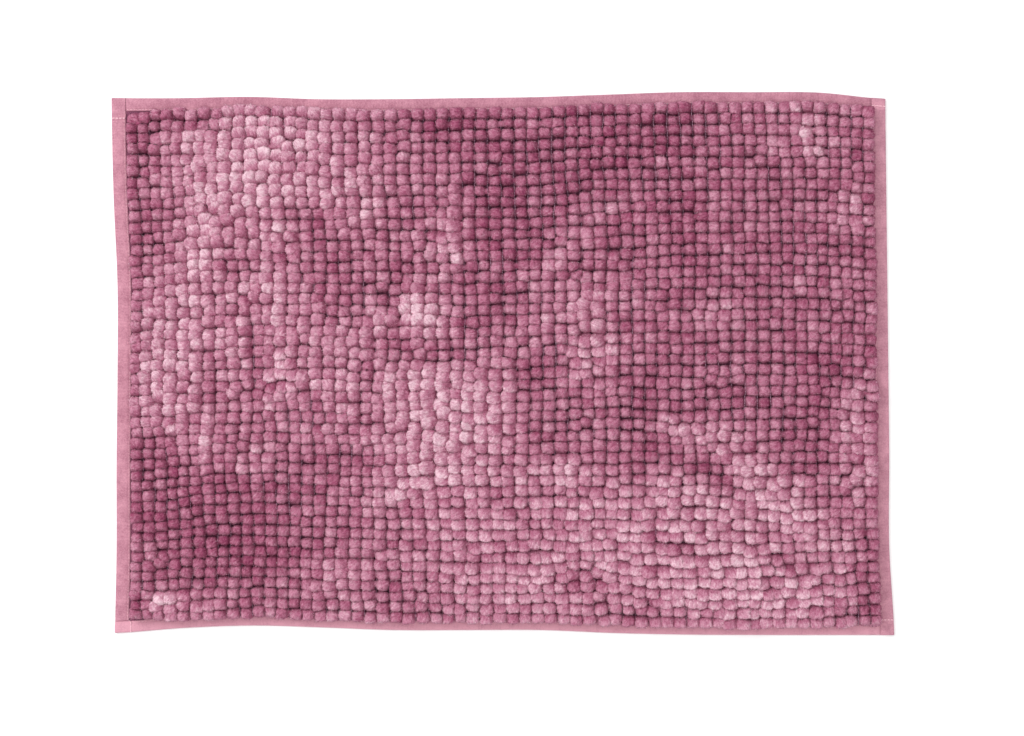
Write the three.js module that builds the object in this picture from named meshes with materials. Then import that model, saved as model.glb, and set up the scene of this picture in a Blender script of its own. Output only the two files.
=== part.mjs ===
// A chenille bobble bath mat, lying flat on a floor. Millimetres, +Z up, X along the mat's length.
//
// One chenille yarn makes each row of bobbles. The rows stand on a base cloth with a rubber coat under it,
// and four folded binding tapes close the edges, each held by one seam thread. The tapes meet at the corners
// with one tape's end pressed flat inside the fold of the other.
import * as THREE from "three";

// Driving dimensions.
const LENGTH = 600; // over the binding tapes
const WIDTH = 415;
const THICKNESS = 15; // floor to the bobbles' tops
const ROWS = 48; // yarns, side by side along Y
const TAPE_WIDTH = { long: 9.5, short: 11.3 }; // of the folded tape on the long and the short edges
const TAPE_PLY = 0.6; // one layer of tape, and of the rubber coat that lies flush with it
const CLOTH_PLY = 1.2;
const GAP = 0.3; // between pieces that lie side by side
const OVERHANG = 1.6; // of the outer rows' tops over the long edges' tapes
const FOOT = { half: 2, top: 2.9, flare: 3.7 }; // a yarn is narrow up to its foot's top, full above the flare
const THREAD = { width: 0.5, height: 0.4, inset: 1.2 }; // inset is from the tape's inner edge
const TUCK_RUN = 1.2; // the length over which a tape's end is pressed flat

const TAPE_HEIGHT = 2 * TAPE_PLY + CLOTH_PLY;
const CLOTH_TOP = TAPE_PLY + CLOTH_PLY;
const HALF_LENGTH = LENGTH / 2;
const HALF_WIDTH = WIDTH / 2;
const INNER_LENGTH = LENGTH - 2 * (TAPE_WIDTH.short + GAP); // between the tapes
const INNER_WIDTH = WIDTH - 2 * (TAPE_WIDTH.long + GAP);
const FIELD_WIDTH = INNER_WIDTH + 2 * OVERHANG; // over the bobbles
const ROW_PITCH = FIELD_WIDTH / ROWS;

// How the soft mat lies: how far each edge stands outside its straight line, at equal steps along it.
// The long edges run from left to right, the short ones from front to back.
const EASE = {
  back: [-0.8, -0.8, 0.2, -1.6, -1.6, -0.8, 0, 1.9, 3.8, 3.8, 3.5, -1.4],
  front: [-0.8, -4.7, -6.6, -5.1, -3.1, -3.1, -3.1, -0.8, 0.4, 0.7, 0.7, 0.7],
  left: [-0.2, -1.4, -1.4, -2.1, -2.1, 1, 2.5],
  right: [2.5, -1.4, -1.4, -2.1, -2.9, -3.7, -4.4],
};
const SPREAD = 3.5; // the columns stand wider apart in the middle, by this shift
const CROWD = 8; // the rows stand closer together at the front left, by this shift

const STEPS = { row: 14, long: 28, short: 18, seam: 28, outline: 28 };
const ARC_SEGMENTS = 3;

const FINISH = {
  pile: { color: "#b4708a", roughness: 0.95 },
  cloth: { color: "#a48796", roughness: 0.95 },
  tape: { color: "#cf8f9f", roughness: 0.85 },
  thread: { color: "#f0b6c6", roughness: 0.6 },
  coat: { color: "#d9d3cf", roughness: 0.7 },
};

// A smooth curve through equally spaced values, read at a share of its length.
function alongEdge(values, share) {
  const curve = new THREE.SplineCurve(values.map((value, i) => new THREE.Vector2(i, value)));
  return curve.getPoint(THREE.MathUtils.clamp(share, 0, 1)).y;
}

// Where a point of the straight, even mat lies on the floor.
function lay(x, y) {
  const across = x / LENGTH + 0.5;
  const up = y / WIDTH + 0.5;
  const easeX = THREE.MathUtils.lerp(-alongEdge(EASE.left, up), alongEdge(EASE.right, up), across);
  const easeY = THREE.MathUtils.lerp(-alongEdge(EASE.front, across), alongEdge(EASE.back, across), up);
  const spread = SPREAD * Math.sin((Math.PI * x) / HALF_LENGTH);
  const crowd = CROWD * (1 - (y / HALF_WIDTH) ** 2) * (1 - across) ** 2;
  return [x + easeX + spread, y + easeY - crowd];
}

// Moves every vertex of a geometry: place takes a vertex's x, y and z and returns its new ones.
function reshape(geometry, place) {
  const position = geometry.getAttribute("position");
  for (let i = 0; i < position.count; i++) {
    position.setXYZ(i, ...place(position.getX(i), position.getY(i), position.getZ(i)));
  }
  geometry.computeVertexNormals();
  return geometry;
}

// A bar with this section (across, height), through these stations along its run and turned about Z by
// quarter turns: none runs it along X with its outer side to the back. squeeze presses a station's heights
// together about the middle of the tape, to that share.
function bar(section, stations, quarters = 0, squeeze = () => 1) {
  const steps = stations.length - 1;
  const geometry = new THREE.ExtrudeGeometry(section, {
    depth: steps,
    steps,
    bevelEnabled: false,
    curveSegments: ARC_SEGMENTS,
  });
  const cos = [1, 0, -1, 0][quarters];
  const sin = [0, 1, 0, -1][quarters];
  return reshape(geometry, (across, height, step) => {
    const k = Math.round(step);
    const run = stations[k];
    const middle = TAPE_HEIGHT / 2;
    const z = middle + (height - middle) * squeeze(k);
    return [...lay(run * cos - across * sin, run * sin + across * cos), z];
  });
}

function evenly(from, to, steps) {
  return Array.from({ length: steps + 1 }, (_, i) => from + ((to - from) * i) / steps);
}

// A flat plate between two heights, over an outline of straight sides.
function plate(corners, bottom, top) {
  const points = corners.flatMap(([x, y], i) => {
    const [nextX, nextY] = corners[(i + 1) % corners.length];
    const steps = Math.max(1, Math.round((Math.hypot(nextX - x, nextY - y) / LENGTH) * STEPS.outline));
    return evenly(0, 1, steps)
      .slice(0, -1)
      .map((t) => new THREE.Vector2(...lay(x + (nextX - x) * t, y + (nextY - y) * t)));
  });
  const geometry = new THREE.ExtrudeGeometry(new THREE.Shape(points), {
    depth: top - bottom,
    bevelEnabled: false,
  });
  return geometry.translate(0, 0, bottom);
}

// One yarn's row of bobbles: an upright bar with a round top, on a narrower foot.
function pileRow(index) {
  const middle = (index - (ROWS - 1) / 2) * ROW_PITCH;
  const half = ROW_PITCH / 2 - GAP / 2;
  const shoulder = THICKNESS - half;
  const section = new THREE.Shape();
  section.moveTo(middle - FOOT.half, CLOTH_TOP);
  section.lineTo(middle + FOOT.half, CLOTH_TOP);
  section.lineTo(middle + FOOT.half, FOOT.top);
  section.lineTo(middle + half, FOOT.flare);
  section.lineTo(middle + half, shoulder);
  section.absarc(middle, shoulder, half, 0, Math.PI, false);
  section.lineTo(middle - half, FOOT.flare);
  section.lineTo(middle - FOOT.half, FOOT.top);
  section.closePath();
  const end = INNER_LENGTH / 2 - GAP;
  return bar(section, evenly(-end, end, STEPS.row));
}

// A tape folded over the mat's edge: a lower and an upper ply, joined by a round fold at the outside.
function tapeSection(outer, width) {
  const inner = outer - width;
  const fold = TAPE_HEIGHT / 2;
  const section = new THREE.Shape();
  section.moveTo(inner, 0);
  section.lineTo(outer - fold, 0);
  section.absarc(outer - fold, fold, fold, -Math.PI / 2, Math.PI / 2, false);
  section.lineTo(inner, TAPE_HEIGHT);
  section.lineTo(inner, CLOTH_TOP);
  section.lineTo(outer - fold, CLOTH_TOP);
  section.lineTo(outer - fold, TAPE_PLY);
  section.lineTo(inner, TAPE_PLY);
  section.closePath();
  return section;
}

// One binding tape. half is half its run, outer its distance from the mat's middle and crossing the width of
// the tapes at its ends. An end that is tucked is pressed flat and stops inside the other tape's fold.
function bindingTape({ half, outer, width, crossing, quarters, steps, tuckStart, tuckEnd }) {
  const pressed = (CLOTH_PLY - 2 * GAP * TAPE_PLY) / TAPE_HEIGHT;
  const corner = half - crossing;
  const tip = half - TAPE_HEIGHT / 2 - GAP;
  const head = tuckStart ? [-tip, -corner, -(corner - TUCK_RUN)] : [-half, -(corner - TUCK_RUN)];
  const tail = tuckEnd ? [corner - TUCK_RUN, corner, tip] : [corner - TUCK_RUN, half];
  const middle = evenly(head.at(-1), tail[0], steps).slice(1, -1);
  const stations = [...head, ...middle, ...tail];
  const last = stations.length - 1;
  const squeeze = (k) => ((tuckStart && k < 2) || (tuckEnd && k > last - 2) ? pressed : 1);
  return bar(tapeSection(outer, width), stations, quarters, squeeze);
}

// The seam thread that lies on a tape, near its inner edge. At a crossed end it runs on over the corner to
// the mat's edge, and at the other ends it stops short of the seam that crosses.
function seamThread({ half, outer, width, crossing, quarters, crossStart, crossEnd }) {
  const line = outer - width + THREAD.inset;
  const section = new THREE.Shape([
    new THREE.Vector2(line - THREAD.width / 2, TAPE_HEIGHT),
    new THREE.Vector2(line + THREAD.width / 2, TAPE_HEIGHT),
    new THREE.Vector2(line + THREAD.width / 2, TAPE_HEIGHT + THREAD.height),
    new THREE.Vector2(line - THREAD.width / 2, TAPE_HEIGHT + THREAD.height),
  ]);
  const crossed = half - TAPE_HEIGHT / 2;
  const stopped = half - crossing;
  const start = crossStart ? crossed : stopped;
  const end = crossEnd ? crossed : stopped;
  return bar(section, evenly(-start, end, STEPS.seam), quarters);
}

// The base cloth reaches into the tapes' folds, and its corners are cut out to leave room for the tucked ends.
function baseCloth() {
  const x = HALF_LENGTH - TAPE_HEIGHT / 2 - GAP;
  const y = HALF_WIDTH - TAPE_HEIGHT / 2 - GAP;
  const innerX = HALF_LENGTH - TAPE_WIDTH.short - TUCK_RUN - GAP;
  const innerY = HALF_WIDTH - TAPE_WIDTH.long - TUCK_RUN - GAP;
  const corners = [
    [-innerX, -y],
    [innerX, -y],
    [innerX, -innerY],
    [x, -innerY],
    [x, innerY],
    [innerX, innerY],
    [innerX, y],
    [-innerX, y],
    [-innerX, innerY],
    [-x, innerY],
    [-x, -innerY],
    [-innerX, -innerY],
  ];
  return plate(corners, TAPE_PLY, CLOTH_TOP);
}

function rubberCoat() {
  const x = INNER_LENGTH / 2;
  const y = INNER_WIDTH / 2;
  const corners = [
    [-x, -y],
    [x, -y],
    [x, y],
    [-x, y],
  ];
  return plate(corners, 0, TAPE_PLY);
}

const long = {
  half: HALF_LENGTH,
  outer: HALF_WIDTH,
  width: TAPE_WIDTH.long,
  crossing: TAPE_WIDTH.short,
  steps: STEPS.long,
};
const short = {
  half: HALF_WIDTH,
  outer: HALF_LENGTH,
  width: TAPE_WIDTH.short,
  crossing: TAPE_WIDTH.long,
  steps: STEPS.short,
};
// A side's run goes left to right at the back, and turns with the mat's outline from there.
const SIDES = {
  back: { ...long, quarters: 0, tuckStart: true, tuckEnd: true, crossStart: true, crossEnd: true },
  left: { ...short, quarters: 1, tuckStart: true, tuckEnd: false, crossStart: true, crossEnd: false },
  front: { ...long, quarters: 2, tuckStart: true, tuckEnd: false, crossStart: true, crossEnd: false },
  right: { ...short, quarters: 3, tuckStart: false, tuckEnd: false, crossStart: false, crossEnd: false },
};

const mat = new THREE.Group();

function add(name, geometry, finish) {
  const mesh = new THREE.Mesh(geometry, new THREE.MeshStandardMaterial({ ...finish, metalness: 0 }));
  mesh.name = name;
  mat.add(mesh);
}

add("rubber_coat", rubberCoat(), FINISH.coat);
add("base_cloth", baseCloth(), FINISH.cloth);
for (const [side, sizes] of Object.entries(SIDES)) {
  add(`binding_tape_${side}`, bindingTape(sizes), FINISH.tape);
  add(`seam_thread_${side}`, seamThread(sizes), FINISH.thread);
}
for (let row = 0; row < ROWS; row++) {
  add(`pile_row_${String(row + 1).padStart(2, "0")}`, pileRow(row), FINISH.pile);
}

// The origin is the middle of the mat's box, on the floor.
const centre = new THREE.Box3().setFromObject(mat).getCenter(new THREE.Vector3());
mat.position.set(-centre.x, -centre.y, 0);

export default mat;
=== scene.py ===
"""A chenille bobble bath mat, lying flat in a soft studio light.

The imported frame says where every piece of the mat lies. This script dresses it: each row of bobbles is
raised from its yarn, the binding tapes are folded and stitched, and the base cloth and the rubber coat get
their own surfaces. All sizes are in metres, +Z is up and +Y points to the mat's back edge.
"""

from __future__ import annotations

import logging
import math
from abc import ABC, abstractmethod
from collections.abc import Mapping, Sequence
from dataclasses import dataclass, field
from enum import Enum
from typing import ClassVar

import bpy
import numpy as np
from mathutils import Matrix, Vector

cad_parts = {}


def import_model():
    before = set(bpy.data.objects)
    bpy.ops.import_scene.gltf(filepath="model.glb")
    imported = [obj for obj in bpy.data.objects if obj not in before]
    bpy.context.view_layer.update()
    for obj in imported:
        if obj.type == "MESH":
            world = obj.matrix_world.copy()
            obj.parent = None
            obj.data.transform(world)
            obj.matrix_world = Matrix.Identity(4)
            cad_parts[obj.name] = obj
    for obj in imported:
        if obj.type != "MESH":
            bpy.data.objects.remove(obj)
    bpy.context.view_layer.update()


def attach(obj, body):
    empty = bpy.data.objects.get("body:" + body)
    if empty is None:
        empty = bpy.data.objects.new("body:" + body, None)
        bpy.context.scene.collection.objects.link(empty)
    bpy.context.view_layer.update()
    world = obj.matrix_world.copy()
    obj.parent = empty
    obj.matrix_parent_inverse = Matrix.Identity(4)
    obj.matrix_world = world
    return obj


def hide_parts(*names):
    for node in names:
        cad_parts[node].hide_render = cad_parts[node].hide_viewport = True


LOG = logging.getLogger("bath_mat")

MM = 0.001
ROWS = 48
COLUMNS = 60
SEED = 20731

Array = np.ndarray
Tree = bpy.types.NodeTree
Socket = bpy.types.NodeSocket
Stops = tuple[tuple[float, str], ...]  # places on a colour ramp, each with its sRGB colour
Part = tuple[Array, Array, Array, Array, Array]  # points, quads, triangles, shades and combed places


# ------------------------------------------------------------------------------
# Helpers
# ------------------------------------------------------------------------------


def to_linear(code: str) -> tuple[float, float, float, float]:
    """Turns an sRGB colour into the linear one that shaders take.

    Args:
        code: the colour as "#rrggbb".

    Returns:
        Linear red, green and blue, and an alpha of 1.
    """
    shares = [int(code[i : i + 2], 16) / 255 for i in (1, 3, 5)]
    linear = [s / 12.92 if s <= 0.04045 else ((s + 0.055) / 1.055) ** 2.4 for s in shares]
    return (*linear, 1.0)


def add_node(
    tree: Tree,
    kind: str,
    settings: Mapping[str | int, object] | None = None,
    links: Mapping[str | int, Socket] | None = None,
    **choices: object,
) -> bpy.types.Node:
    """Adds one shader node.

    Args:
        tree: the material's node tree.
        kind: the node's type, such as "ShaderNodeTexNoise".
        settings: the values of its sockets.
        links: the sockets that feed its own sockets.
        choices: the node's own properties, such as its operation.

    Returns:
        The node.
    """
    node = tree.nodes.new(kind)
    for name, value in choices.items():
        setattr(node, name, value)
    for socket, value in (settings or {}).items():
        node.inputs[socket].default_value = value
    for socket, source in (links or {}).items():
        tree.links.new(source, node.inputs[socket])
    return node


def set_stops(node: bpy.types.Node, stops: Stops) -> None:
    """Gives a colour ramp its stops.

    Args:
        node: the colour ramp, new and with two stops.
        stops: the places and colours, from 0 to 1.
    """
    ramp = node.color_ramp
    while len(ramp.elements) < len(stops):
        ramp.elements.new(1.0)
    for element, (place, code) in zip(ramp.elements, stops, strict=True):
        element.position = place
        element.color = to_linear(code)


class FibreNoise:
    """Smooth random values in space, the same on every run."""

    SIDE = 32

    def __init__(self, seed: int) -> None:
        """Fills the lattice that the values are read from."""
        rng = np.random.default_rng(seed)
        self.lattice = rng.uniform(-1, 1, (self.SIDE,) * 3).astype(np.float32)

    def at(self, points: Array, wavelength: float, shift: float = 0.0) -> Array:
        """Reads the noise.

        Args:
            points: places, with x, y and z on the last axis.
            wavelength: the size of its features, in the same units as the points.
            shift: moves the pattern, to get a different one from the same lattice.

        Returns:
            One value from -1 to 1 for each point.
        """
        scaled = points / wavelength + shift
        cell = np.floor(scaled)
        part = (scaled - cell).astype(np.float32)
        part = part * part * (3 - 2 * part)
        low = cell.astype(np.int64) & (self.SIDE - 1)
        high = (low + 1) & (self.SIDE - 1)
        total = np.zeros(points.shape[:-1], np.float32)
        for corner in range(8):
            picked, weight = [], 1.0
            for axis in range(3):
                up = corner >> axis & 1
                picked.append((high if up else low)[..., axis])
                weight = weight * (part[..., axis] if up else 1 - part[..., axis])
            total += self.lattice[tuple(picked)] * weight
        return total


def make_mesh(
    name: str,
    points: Array,
    quads: Array | Sequence,
    triangles: Array | Sequence = (),
    tones: Mapping[str, Array] | None = None,
    smooth: bool = True,
) -> bpy.types.Object:
    """Makes one mesh object from arrays.

    Args:
        name: the object's name.
        points: the corners' places.
        quads: corner numbers of the four-sided faces.
        triangles: corner numbers of the three-sided faces.
        tones: named values that the material reads: a number or a vector for each corner.
        smooth: whether the faces are shaded smoothly.

    Returns:
        The object, in the scene.
    """
    quads = np.asarray(quads, np.int32).reshape(-1, 4)
    triangles = np.asarray(triangles, np.int32).reshape(-1, 3)
    mesh = bpy.data.meshes.new(name)
    mesh.vertices.add(len(points))
    mesh.vertices.foreach_set("co", np.asarray(points, np.float32).ravel())
    sizes = np.concatenate([np.full(len(quads), 4), np.full(len(triangles), 3)]).astype(np.int32)
    starts = np.concatenate([[0], np.cumsum(sizes)[:-1]]).astype(np.int32)
    mesh.loops.add(int(sizes.sum()))
    mesh.loops.foreach_set("vertex_index", np.concatenate([quads.ravel(), triangles.ravel()]))
    mesh.polygons.add(len(sizes))
    mesh.polygons.foreach_set("loop_start", starts)
    mesh.polygons.foreach_set("use_smooth", np.full(len(sizes), smooth))
    for tone, values in (tones or {}).items():
        is_vector = np.ndim(values) == 2
        kind, slot = ("FLOAT_VECTOR", "vector") if is_vector else ("FLOAT", "value")
        layer = mesh.attributes.new(tone, kind, "POINT")
        layer.data.foreach_set(slot, np.asarray(values, np.float32).ravel())
    mesh.update(calc_edges=True)
    mesh.validate()
    made = bpy.data.objects.new(name, mesh)
    bpy.context.scene.collection.objects.link(made)
    return made


def tube_faces(rings: int, sides: int) -> tuple[Array, Array]:
    """Faces of a tube whose corners come ring by ring, closed by a flat cap at each end.

    Args:
        rings: how many rings of corners it has.
        sides: how many corners a ring has.

    Returns:
        The quads of its wall and the triangles of its caps.
    """
    ring, side = np.meshgrid(np.arange(rings - 1), np.arange(sides), indexing="ij")
    after = (side + 1) % sides
    start = ring * sides
    quads = np.stack([start + side, start + after, start + sides + after, start + sides + side], -1)
    fan = np.arange(1, sides - 1)
    first = np.stack([np.zeros_like(fan), fan + 1, fan], -1)
    last = np.stack([np.zeros_like(fan), fan, fan + 1], -1) + (rings - 1) * sides
    return quads.reshape(-1, 4), np.concatenate([first, last])


# ------------------------------------------------------------------------------
# Finishes
# ------------------------------------------------------------------------------


@dataclass(frozen=True)
class Finish(ABC):
    """What every finish of the mat shares: a pattern that gives it both its colours and its relief."""

    name: str
    stops: Stops  # the pattern's colours
    strength: float  # of the relief
    relief: float  # the relief's height

    SHADER: ClassVar[Mapping[str, object]]  # the shader's even values

    @abstractmethod
    def pattern(self, tree: Tree) -> tuple[Socket, Socket]:
        """Adds the pattern's nodes.

        Args:
            tree: the material's node tree.

        Returns:
            The socket of its shade, which picks the colour, and the socket of its height.
        """

    def build(self) -> bpy.types.Material:
        """Makes the material."""
        made = bpy.data.materials.new(self.name)
        made.use_nodes = True
        tree = made.node_tree
        tree.nodes.clear()
        shade, height = self.pattern(tree)
        colour = add_node(tree, "ShaderNodeValToRGB", links={"Fac": shade})
        set_stops(colour, self.stops)
        depth = {"Strength": self.strength, "Distance": self.relief}
        bump = add_node(tree, "ShaderNodeBump", depth, {"Height": height})
        links = {"Base Color": colour.outputs["Color"], "Normal": bump.outputs["Normal"]}
        shader = add_node(tree, "ShaderNodeBsdfPrincipled", self.SHADER, links)
        add_node(tree, "ShaderNodeOutputMaterial", links={"Surface": shader.outputs[0]})
        return made


@dataclass(frozen=True)
class ChenillePile(Finish):
    """Cut polyester chenille, its fibres on end and matt: painted shade between tufts, painted highlights at
    the tips.
    """

    name: str = "polyester_chenille"
    # The pile's colours, from its deepest painted shade to its lightest painted sheen.
    stops: Stops = (
        (0.0, "#7a304f"),
        (0.22, "#924c66"),
        (0.48, "#aa6c83"),
        (0.74, "#be899c"),
        (1.0, "#dab8c3"),
    )
    strength: float = 0.6
    relief: float = 0.25 * MM
    tuft: float = 1.7 * MM  # a clump of fibres that cling together
    fibre: float = 0.6 * MM  # drawn about ten times as coarse as the real fibre, so that it shows

    SHADER = {
        "Roughness": 0.95,
        "IOR": 1.5,
        "Specular IOR Level": 0.08,
        "Sheen Weight": 0.05,
        "Sheen Roughness": 0.5,
        "Sheen Tint": to_linear("#e89ab5"),
    }

    def pattern(self, tree: Tree) -> tuple[Socket, Socket]:
        """Mottles each bobble's painted shade with tufts and fibres, along the way that it is combed."""
        shade = add_node(tree, "ShaderNodeAttribute", attribute_name="pile_tone_and_painted_light").outputs["Fac"]
        combed = add_node(tree, "ShaderNodeAttribute", attribute_name="combed").outputs["Vector"]
        for size, detail, roughness, depth in ((self.tuft, 2.0, 0.6, 0.21), (self.fibre, 1.0, 0.5, 0.17)):
            grain = {"Scale": 1 / size, "Detail": detail, "Roughness": roughness}
            fibres = add_node(tree, "ShaderNodeTexNoise", grain, {"Vector": combed}).outputs["Fac"]
            limits = {"From Min": 0.25, "From Max": 0.75, "To Min": -depth, "To Max": depth}
            speck = add_node(tree, "ShaderNodeMapRange", limits, {"Value": fibres}).outputs["Result"]
            shade = add_node(tree, "ShaderNodeMath", links={0: shade, 1: speck}, operation="ADD").outputs[0]
        return shade, fibres


@dataclass(frozen=True)
class WovenTape(Finish):
    """Woven polyester binding tape. Its weft lies across it in fine ribs, and it has a faint sheen."""

    name: str = "woven_polyester_tape"
    stops: Stops = ((0.0, "#9a6174"), (1.0, "#cf95a5"))
    strength: float = 0.5
    relief: float = 0.12 * MM
    rib: float = 1.1 * MM  # drawn twice as coarse as the real weft, so that it shows
    cloud: float = 9 * MM  # the size of its faint dull and clear patches
    yarn: float = 1.0 * MM  # the size of the unevenness of its yarns

    SHADER = {
        "Roughness": 0.75,
        "IOR": 1.5,
        "Specular IOR Level": 0.25,
        "Sheen Weight": 0.15,
        "Sheen Roughness": 0.4,
        "Sheen Tint": to_linear("#f6d3dc"),
    }

    def pattern(self, tree: Tree) -> tuple[Socket, Socket]:
        """Ribs, clouds and uneven yarns over the light and shade painted on each side's tape."""
        where = add_node(tree, "ShaderNodeTexCoord").outputs["Object"]
        shade = add_node(tree, "ShaderNodeAttribute", attribute_name="tone").outputs["Fac"]
        along = add_node(tree, "ShaderNodeAttribute", attribute_name="along").outputs["Fac"]
        turns = {1: math.tau / self.rib}
        turn = add_node(tree, "ShaderNodeMath", turns, {0: along}, operation="MULTIPLY").outputs[0]
        ribs = add_node(tree, "ShaderNodeMath", links={0: turn}, operation="SINE").outputs[0]
        cloud = {"Scale": 1 / self.cloud, "Detail": 3.0, "Roughness": 0.6}
        clouds = add_node(tree, "ShaderNodeTexNoise", cloud, {"Vector": where}).outputs["Fac"]
        yarn = {"Scale": 1 / self.yarn, "Detail": 2.0}
        yarns = add_node(tree, "ShaderNodeTexNoise", yarn, {"Vector": where}).outputs["Fac"]
        parts = ((ribs, -1.0, 1.0, 0.14), (clouds, 0.3, 0.7, 0.24), (yarns, 0.3, 0.7, 0.22))
        for part, low, high, depth in parts:
            limits = {"From Min": low, "From Max": high, "To Min": -depth, "To Max": depth}
            change = add_node(tree, "ShaderNodeMapRange", limits, {"Value": part}).outputs["Result"]
            shade = add_node(tree, "ShaderNodeMath", links={0: shade, 1: change}, operation="ADD").outputs[0]
        height = add_node(tree, "ShaderNodeMath", links={0: ribs, 1: yarns}, operation="ADD").outputs[0]
        return shade, height


@dataclass(frozen=True)
class PlyThread(Finish):
    """Twisted thread: the plies show as slanting light and dark lines."""

    strength: float = 0.5
    relief: float = 0.05 * MM
    ply: float = 0.6 * MM

    SHADER = {"Roughness": 0.6, "IOR": 1.5, "Specular IOR Level": 0.3, "Sheen Weight": 0.1}

    def pattern(self, tree: Tree) -> tuple[Socket, Socket]:
        """The plies, both as shade and as height."""
        where = add_node(tree, "ShaderNodeTexCoord").outputs["Object"]
        twist = {"Scale": 1 / (self.ply * math.tau), "Distortion": 1.5, "Detail": 1.0}
        plies = add_node(tree, "ShaderNodeTexWave", twist, {"Vector": where}, bands_direction="DIAGONAL")
        return plies.outputs["Fac"], plies.outputs["Fac"]


@dataclass(frozen=True)
class KnitCloth(Finish):
    """Warp-knitted polyester ground. Its wales run from front to back. Its lilac is painted dark plum, as the
    gaps' shade.
    """

    name: str = "warp_knitted_polyester"
    # Painted shade: the lilac cloth is painted as dark as it looks deep in the gaps.
    stops: Stops = ((0.1, "#6a3a50"), (0.9, "#94546f"))
    strength: float = 0.8
    relief: float = 0.2 * MM
    wale: float = 1.6 * MM
    course: float = 2.08 * MM
    cloud: float = 5 * MM  # the size of its unevenness

    SHADER = {"Roughness": 0.9, "IOR": 1.5, "Specular IOR Level": 0.2, "Sheen Weight": 0.1}

    def pattern(self, tree: Tree) -> tuple[Socket, Socket]:
        """Wales with a loop in each stitch."""
        where = add_node(tree, "ShaderNodeTexCoord").outputs["Object"]
        split = add_node(tree, "ShaderNodeSeparateXYZ", links={"Vector": where})
        waves = []
        for axis, pitch in (("X", self.wale), ("Y", self.course)):
            turns = {1: math.tau / pitch}
            place = {0: split.outputs[axis]}
            turn = add_node(tree, "ShaderNodeMath", turns, place, operation="MULTIPLY").outputs[0]
            waves.append(add_node(tree, "ShaderNodeMath", links={0: turn}, operation="SINE").outputs[0])
        loops = {0: waves[0], 1: waves[1]}
        knit = add_node(tree, "ShaderNodeMath", links=loops, operation="MULTIPLY").outputs[0]
        grain = {"Scale": 1 / self.cloud, "Detail": 3.0}
        uneven = add_node(tree, "ShaderNodeTexNoise", grain, {"Vector": where}).outputs["Fac"]
        both = {0: knit, 2: uneven}
        shade = add_node(tree, "ShaderNodeMath", {1: 0.3}, both, operation="MULTIPLY_ADD").outputs[0]
        return shade, knit


@dataclass(frozen=True)
class LatexCoat(Finish):
    """Foamed latex, spread and cured on the cloth: matt off-white with fine pits."""

    name: str = "foamed_latex"
    stops: Stops = ((0.35, "#c9c0bb"), (0.65, "#e2dcd7"))
    strength: float = 0.6
    relief: float = 0.15 * MM
    pit: float = 0.9 * MM

    SHADER = {"Roughness": 0.8, "IOR": 1.52, "Specular IOR Level": 0.4}

    def pattern(self, tree: Tree) -> tuple[Socket, Socket]:
        """The pits, both as shade and as height."""
        where = add_node(tree, "ShaderNodeTexCoord").outputs["Object"]
        foam = {"Scale": 1 / self.pit, "Detail": 2.0, "Roughness": 0.6}
        pits = add_node(tree, "ShaderNodeTexNoise", foam, {"Vector": where}).outputs["Fac"]
        return pits, pits


# ------------------------------------------------------------------------------
# How the mat lies
# ------------------------------------------------------------------------------


class Side(Enum):
    """The mat's four edges. The value is how many quarter turns bring the back edge there."""

    BACK = 0
    LEFT = 1
    FRONT = 2
    RIGHT = 3


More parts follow.
